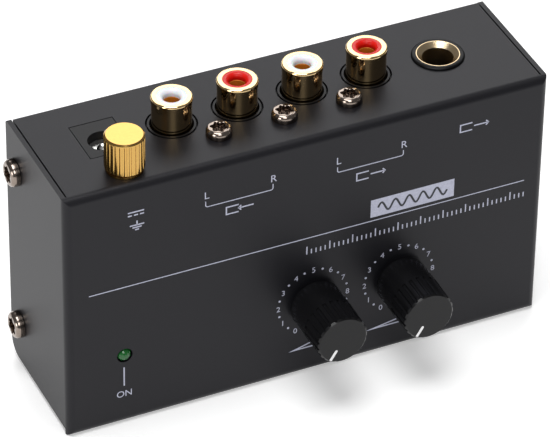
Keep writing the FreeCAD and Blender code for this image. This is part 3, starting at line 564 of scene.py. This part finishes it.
# Socket block and jack
# Black glass-filled plastic mouldings behind the top flange, with faces flush in its holes.
# The jack's nose ring has a metal ferrule pressed into its mouth.
black_moulding = moulded_plastic("black_moulded_nylon", "#0e0e10", "#151518", 0.4, 0.2 * MM, 0.01 * MM,
                                 Specular_IOR_Level=0.2)
dress(black_moulding, "rca_block_housing", "dc_jack_housing", "integrated_circuits",
      "voltage_regulator", "led_spacer", "level_pot_body", "volume_pot_body")

# The nose ring is a harder, blacker plastic with a polished face.
jack_black = moulded_plastic("black_polished_phenolic", "#060607", "#0b0b0d", 0.3, 0.4 * MM, 0.005 * MM,
                             Specular_IOR_Level=0.12)
dress(jack_black, "phone_jack_housing")

# Nickel flashed brass with rings left by the countersink: pale champagne, satin, streaked. The
# wave texture lays its rings about 0.32 / Scale apart.
ring_pitch = 0.2 * MM
rings_at_scale_one = 0.32
champagne, tree, shader, coords = start_material("champagne_nickel_brass", Metallic=1.0, Roughness=0.25)
centred = add_node(tree, "ShaderNodeMapping", {"Location": -middle("phone_jack_ferrule") * MM},
                   {"Vector": (coords, "Object")})
rings = add_node(tree, "ShaderNodeTexWave",
                 {"Scale": rings_at_scale_one / ring_pitch, "Distortion": 1.5, "Detail": 2.0,
                  "Detail Scale": 2.0},
                 {"Vector": (centred, "Vector")}, wave_type="RINGS", rings_direction="Z")
dapple(tree, shader, rings, "#c9ae86", "#e2cfae", relief=(0.25, 0.01 * MM))
dress(champagne, "phone_jack_ferrule")

# Screws and small metal parts
# Nickel plated steel, rolled and driven: warm grey, bright where polished, with patches where
# the plating is duller.
nickel = plated_metal("nickel_plated_steel", "#776a62", "#a3978d", 0.7 * MM, 4.0, 0.08, 0.2)
dress(nickel, "board_screws", "board_pillars", "ground_inner_nut", "level_pot_shaft", "volume_pot_shaft",
      "phone_jack_springs", "led_leads")

# Shares of the head's diameter, radius and height, then lengths in millimetres. The recess's
# rounded edge is given as distances out from its wall and down from the crown.
recess_share = 0.33
lobe_mean, lobe_swing = 0.87, 0.13
recess_floor, recess_wall = 0.5, 0.93
crown_flat, crown_low = 0.74, 0.36
recess_depth = 1.3
floor_rise = 0.1
recess_edge = [(0.0, 0.14), (0.05, 0.04), (0.12, 0.0)]
foot_chamfer = 0.12
tip_length = 0.8
tip_inset = 0.4


def pan_screw(head, height, shank, length, place, out, side):
    """A pan-head screw with a six-lobe recess, as rings of points round its axis.

    The recess wall stands at its reach times (mean + swing cos 6a), so it has six lobes. Out
    from there the crown is a narrow flat and a quarter of an ellipse, then comes the head's side.
    """
    a = np.linspace(0, 2 * math.pi, 96, endpoint=False)
    lobes = recess_share * head * (lobe_mean + lobe_swing * np.cos(6 * a))
    whole = head / 2 + 0 * a
    stem = shank / 2 + 0 * a
    deep = height - recess_depth
    rows = [(0 * a, deep), (recess_floor * lobes, deep), (recess_wall * lobes, deep + floor_rise)]
    rows += [(lobes + beyond, height - below) for beyond, below in recess_edge]
    for fall in np.radians(np.linspace(0, 90, 7)):
        rows.append((whole * (crown_flat + (1 - crown_flat) * math.sin(fall)),
                     height * (crown_low + (1 - crown_low) * math.cos(fall))))
    rows += [(whole, foot_chamfer), (whole - foot_chamfer, 0.0), (stem, 0.0),
             (stem, tip_length - length), (stem - tip_inset, -length), (0 * a, -length)]
    r = np.array([row[0] for row in rows]) * MM
    h = np.array([row[1] + 0 * a for row in rows]) * MM
    out, side, place = np.array(out, float), np.array(side, float), np.array(place, float)
    points = (place + out * h[..., None] + side * (r * np.cos(a))[..., None]
              + np.cross(out, side) * (r * np.sin(a))[..., None])
    return grid_mesh("screw", points, closed_v=True)


# Three screws between the sockets hold the block to the top flange.
head, height, shank, length = 5.3, 1.8, 2.5, 8.0
low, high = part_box("rca_block_screws")
row_y = (low.y + high.y) / 2
screws = [pan_screw(head, height, shank, length, (x, row_y, high.z - height * MM), (0, 0, 1), (0, 1, 0))
          for x in np.linspace(low.x + head * MM / 2, high.x - head * MM / 2, 3)]
wear(join("socket_block_screws", screws), nickel, "case", "rca_block_screws")

# Two screws in each end flange hold the rear cover.
head, height, shank, length = 5.7, 1.9, 2.9, 4.0
low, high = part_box("cover_screws")
row_y = (low.y + high.y) / 2
screws = [pan_screw(head, height, shank, length, (x - out * height * MM, row_y, z), (out, 0, 0), (0, 0, 1))
          for x, out in ((low.x, -1), (high.x, 1))
          for z in (low.z + head * MM / 2, high.z - head * MM / 2)]
wear(join("side_screws", screws), nickel, "case", "cover_screws")

# Power socket contacts
# Formed and drawn brass with bright tin. The outer contact's leaf is a thin flat ring across
# the bore, round the pin, until a plug pushes it aside.
leaf_inner, leaf_outer = 1.35, 3.0
leaf_depth = 1.8
leaf_thickness = 0.3
pin_radius = 1.0

# Hot tinned contact metal: nearly white, slightly uneven.
bright_tin, tree, shader, coords = start_material("tinned_contact", Metallic=1.0, Roughness=0.25)
flow = add_node(tree, "ShaderNodeTexNoise", {"Scale": 1 / (0.8 * MM), "Detail": 2.0},
                {"Vector": (coords, "Object")})
dapple(tree, shader, flow, "#dcdcda", "#f4f4f2")
dress(bright_tin, "dc_jack_contact", "dc_jack_pin")

leaf_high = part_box("dc_jack_housing")[1].z / MM - leaf_depth
leaf_low = leaf_high - leaf_thickness
pin_axis = Vector((middle("dc_jack_pin").x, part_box("dc_jack_pin")[0].y / MM + pin_radius))
leaf = turned("dc_jack_contact_leaf", [(leaf_inner, leaf_low), (leaf_outer, leaf_low),
                                       (leaf_outer, leaf_high), (leaf_inner, leaf_high)], pin_axis, 72)
wear(leaf, bright_tin, "case")

# Earth terminal
# A fluted brass thumb nut, gold washed, on a threaded stud with a washer under it. The stud's
# thread shows when the nut is run up.
thread_pitch = 0.7
thread_depth = 0.4
crest_gain = 1.4
stud_radius = 2.0
stud_head_height = 1.6
stud_tip_height = 0.3
stud_tip_inset = 0.45

# A thin gold wash over knurled brass: warm yellow, satin, with fine machining marks.
wash_gold = plated_metal("gold_washed_brass", "#bf9450", "#cba55f", 0.4 * MM, 3.0, 0.14, 0.24)
dress(wash_gold, "ground_thumb_nut", "ground_washer", "ground_lug", "level_pot_bushing",
      "volume_pot_bushing")


def threaded_stud(centre, head_radius, bottom, top):
    """A headed stud with a thread, as rings of points round an upright axis, in millimetres.

    Up the thread the radius is the root's plus half the depth times one plus a wave. The wave's
    phase is the height over the pitch less the turn, and it is clipped, so that crests and
    roots are flat.
    """
    turn = np.linspace(0, 2 * math.pi, 48, endpoint=False)
    shank = np.linspace(bottom + stud_head_height, top - stud_tip_height, 240)
    h, a = np.meshgrid(shank, turn, indexing="ij")
    swing = np.clip(crest_gain * np.sin(2 * math.pi * h / thread_pitch - a), -1, 1)
    r = stud_radius - thread_depth + thread_depth / 2 * (1 + swing)
    foot = np.array([(0, bottom), (head_radius, bottom), (head_radius, bottom + stud_head_height)])
    tip = np.array([(stud_radius - stud_tip_inset, top), (0, top)])
    r = np.concatenate([foot[:, :1] + 0 * turn, r, tip[:, :1] + 0 * turn])
    h = np.concatenate([foot[:, 1:] + 0 * turn, h, tip[:, 1:] + 0 * turn])
    points = np.stack([centre.x + r * np.cos(turn), centre.y + r * np.sin(turn), h], axis=-1)
    return grid_mesh("stud", points * MM, closed_v=True)


low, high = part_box("ground_stud")
stud = threaded_stud(middle("ground_stud"), (high.x - low.x) / 2 / MM, low.z / MM, high.z / MM)
wear(join("earth_stud_thread", [stud]), wash_gold, "case", "ground_stud")

# Knobs
# Black moulded plastic pushed on to the shafts, grooved round the side, with a white line
# inlaid in the face. The skin is smooth with a soft gloss.
knob_black = moulded_plastic("black_moulded_abs", "#0b0b0c", "#121214", 0.24, 0.25 * MM, 0.004 * MM,
                             Specular_IOR_Level=0.26)
dress(knob_black, "level_knob", "volume_knob")
white_line = moulded_plastic("white_inlay", "#e4e4e6", "#f4f4f4", 0.4, 0.5 * MM, 0.005 * MM)
dress(white_line, "level_knob_pointer", "volume_knob_pointer")

# Power light
# A green tinted epoxy lens, three millimetres across, its dome just through the panel. It is
# deep green and glossy, and cloudy inside round the chip.
lens, tree, shader, coords = start_material("green_epoxy_lens", Roughness=0.08, IOR=1.5,
                                            Transmission_Weight=0.2)
haze = add_node(tree, "ShaderNodeTexNoise", {"Scale": 1 / (0.8 * MM), "Detail": 2.0},
                {"Vector": (coords, "Object")})
dapple(tree, shader, haze, "#0f4a1c", "#1f7030")
dress(lens, "power_led")

# Rubber feet
# Four round feet of black rubber stuck to the rear cover: dull, with a coarse skin.
rubber = moulded_plastic("black_foot_rubber", "#141414", "#1e1e1e", 0.75, 0.3 * MM, 0.02 * MM)
dress(rubber, "rubber_feet")

# Circuit board and what is soldered to it
# Green glass-epoxy board with a glossy solder mask, sleeved can capacitors and dipped film
# capacitors, all inside the case.
mask_green = moulded_plastic("green_solder_mask", "#0f4a26", "#186235", 0.3, 2.0 * MM, 0.01 * MM)
dress(mask_green, "circuit_board")
can_black = moulded_plastic("black_capacitor_sleeve", "#17181d", "#22242b", 0.35, 1.0 * MM, 0.005 * MM)
dress(can_black, "electrolytic_capacitors")
film_red = moulded_plastic("red_film_dip", "#8c1d14", "#a8281b", 0.3, 1.0 * MM, 0.01 * MM)
dress(film_red, "film_capacitors")
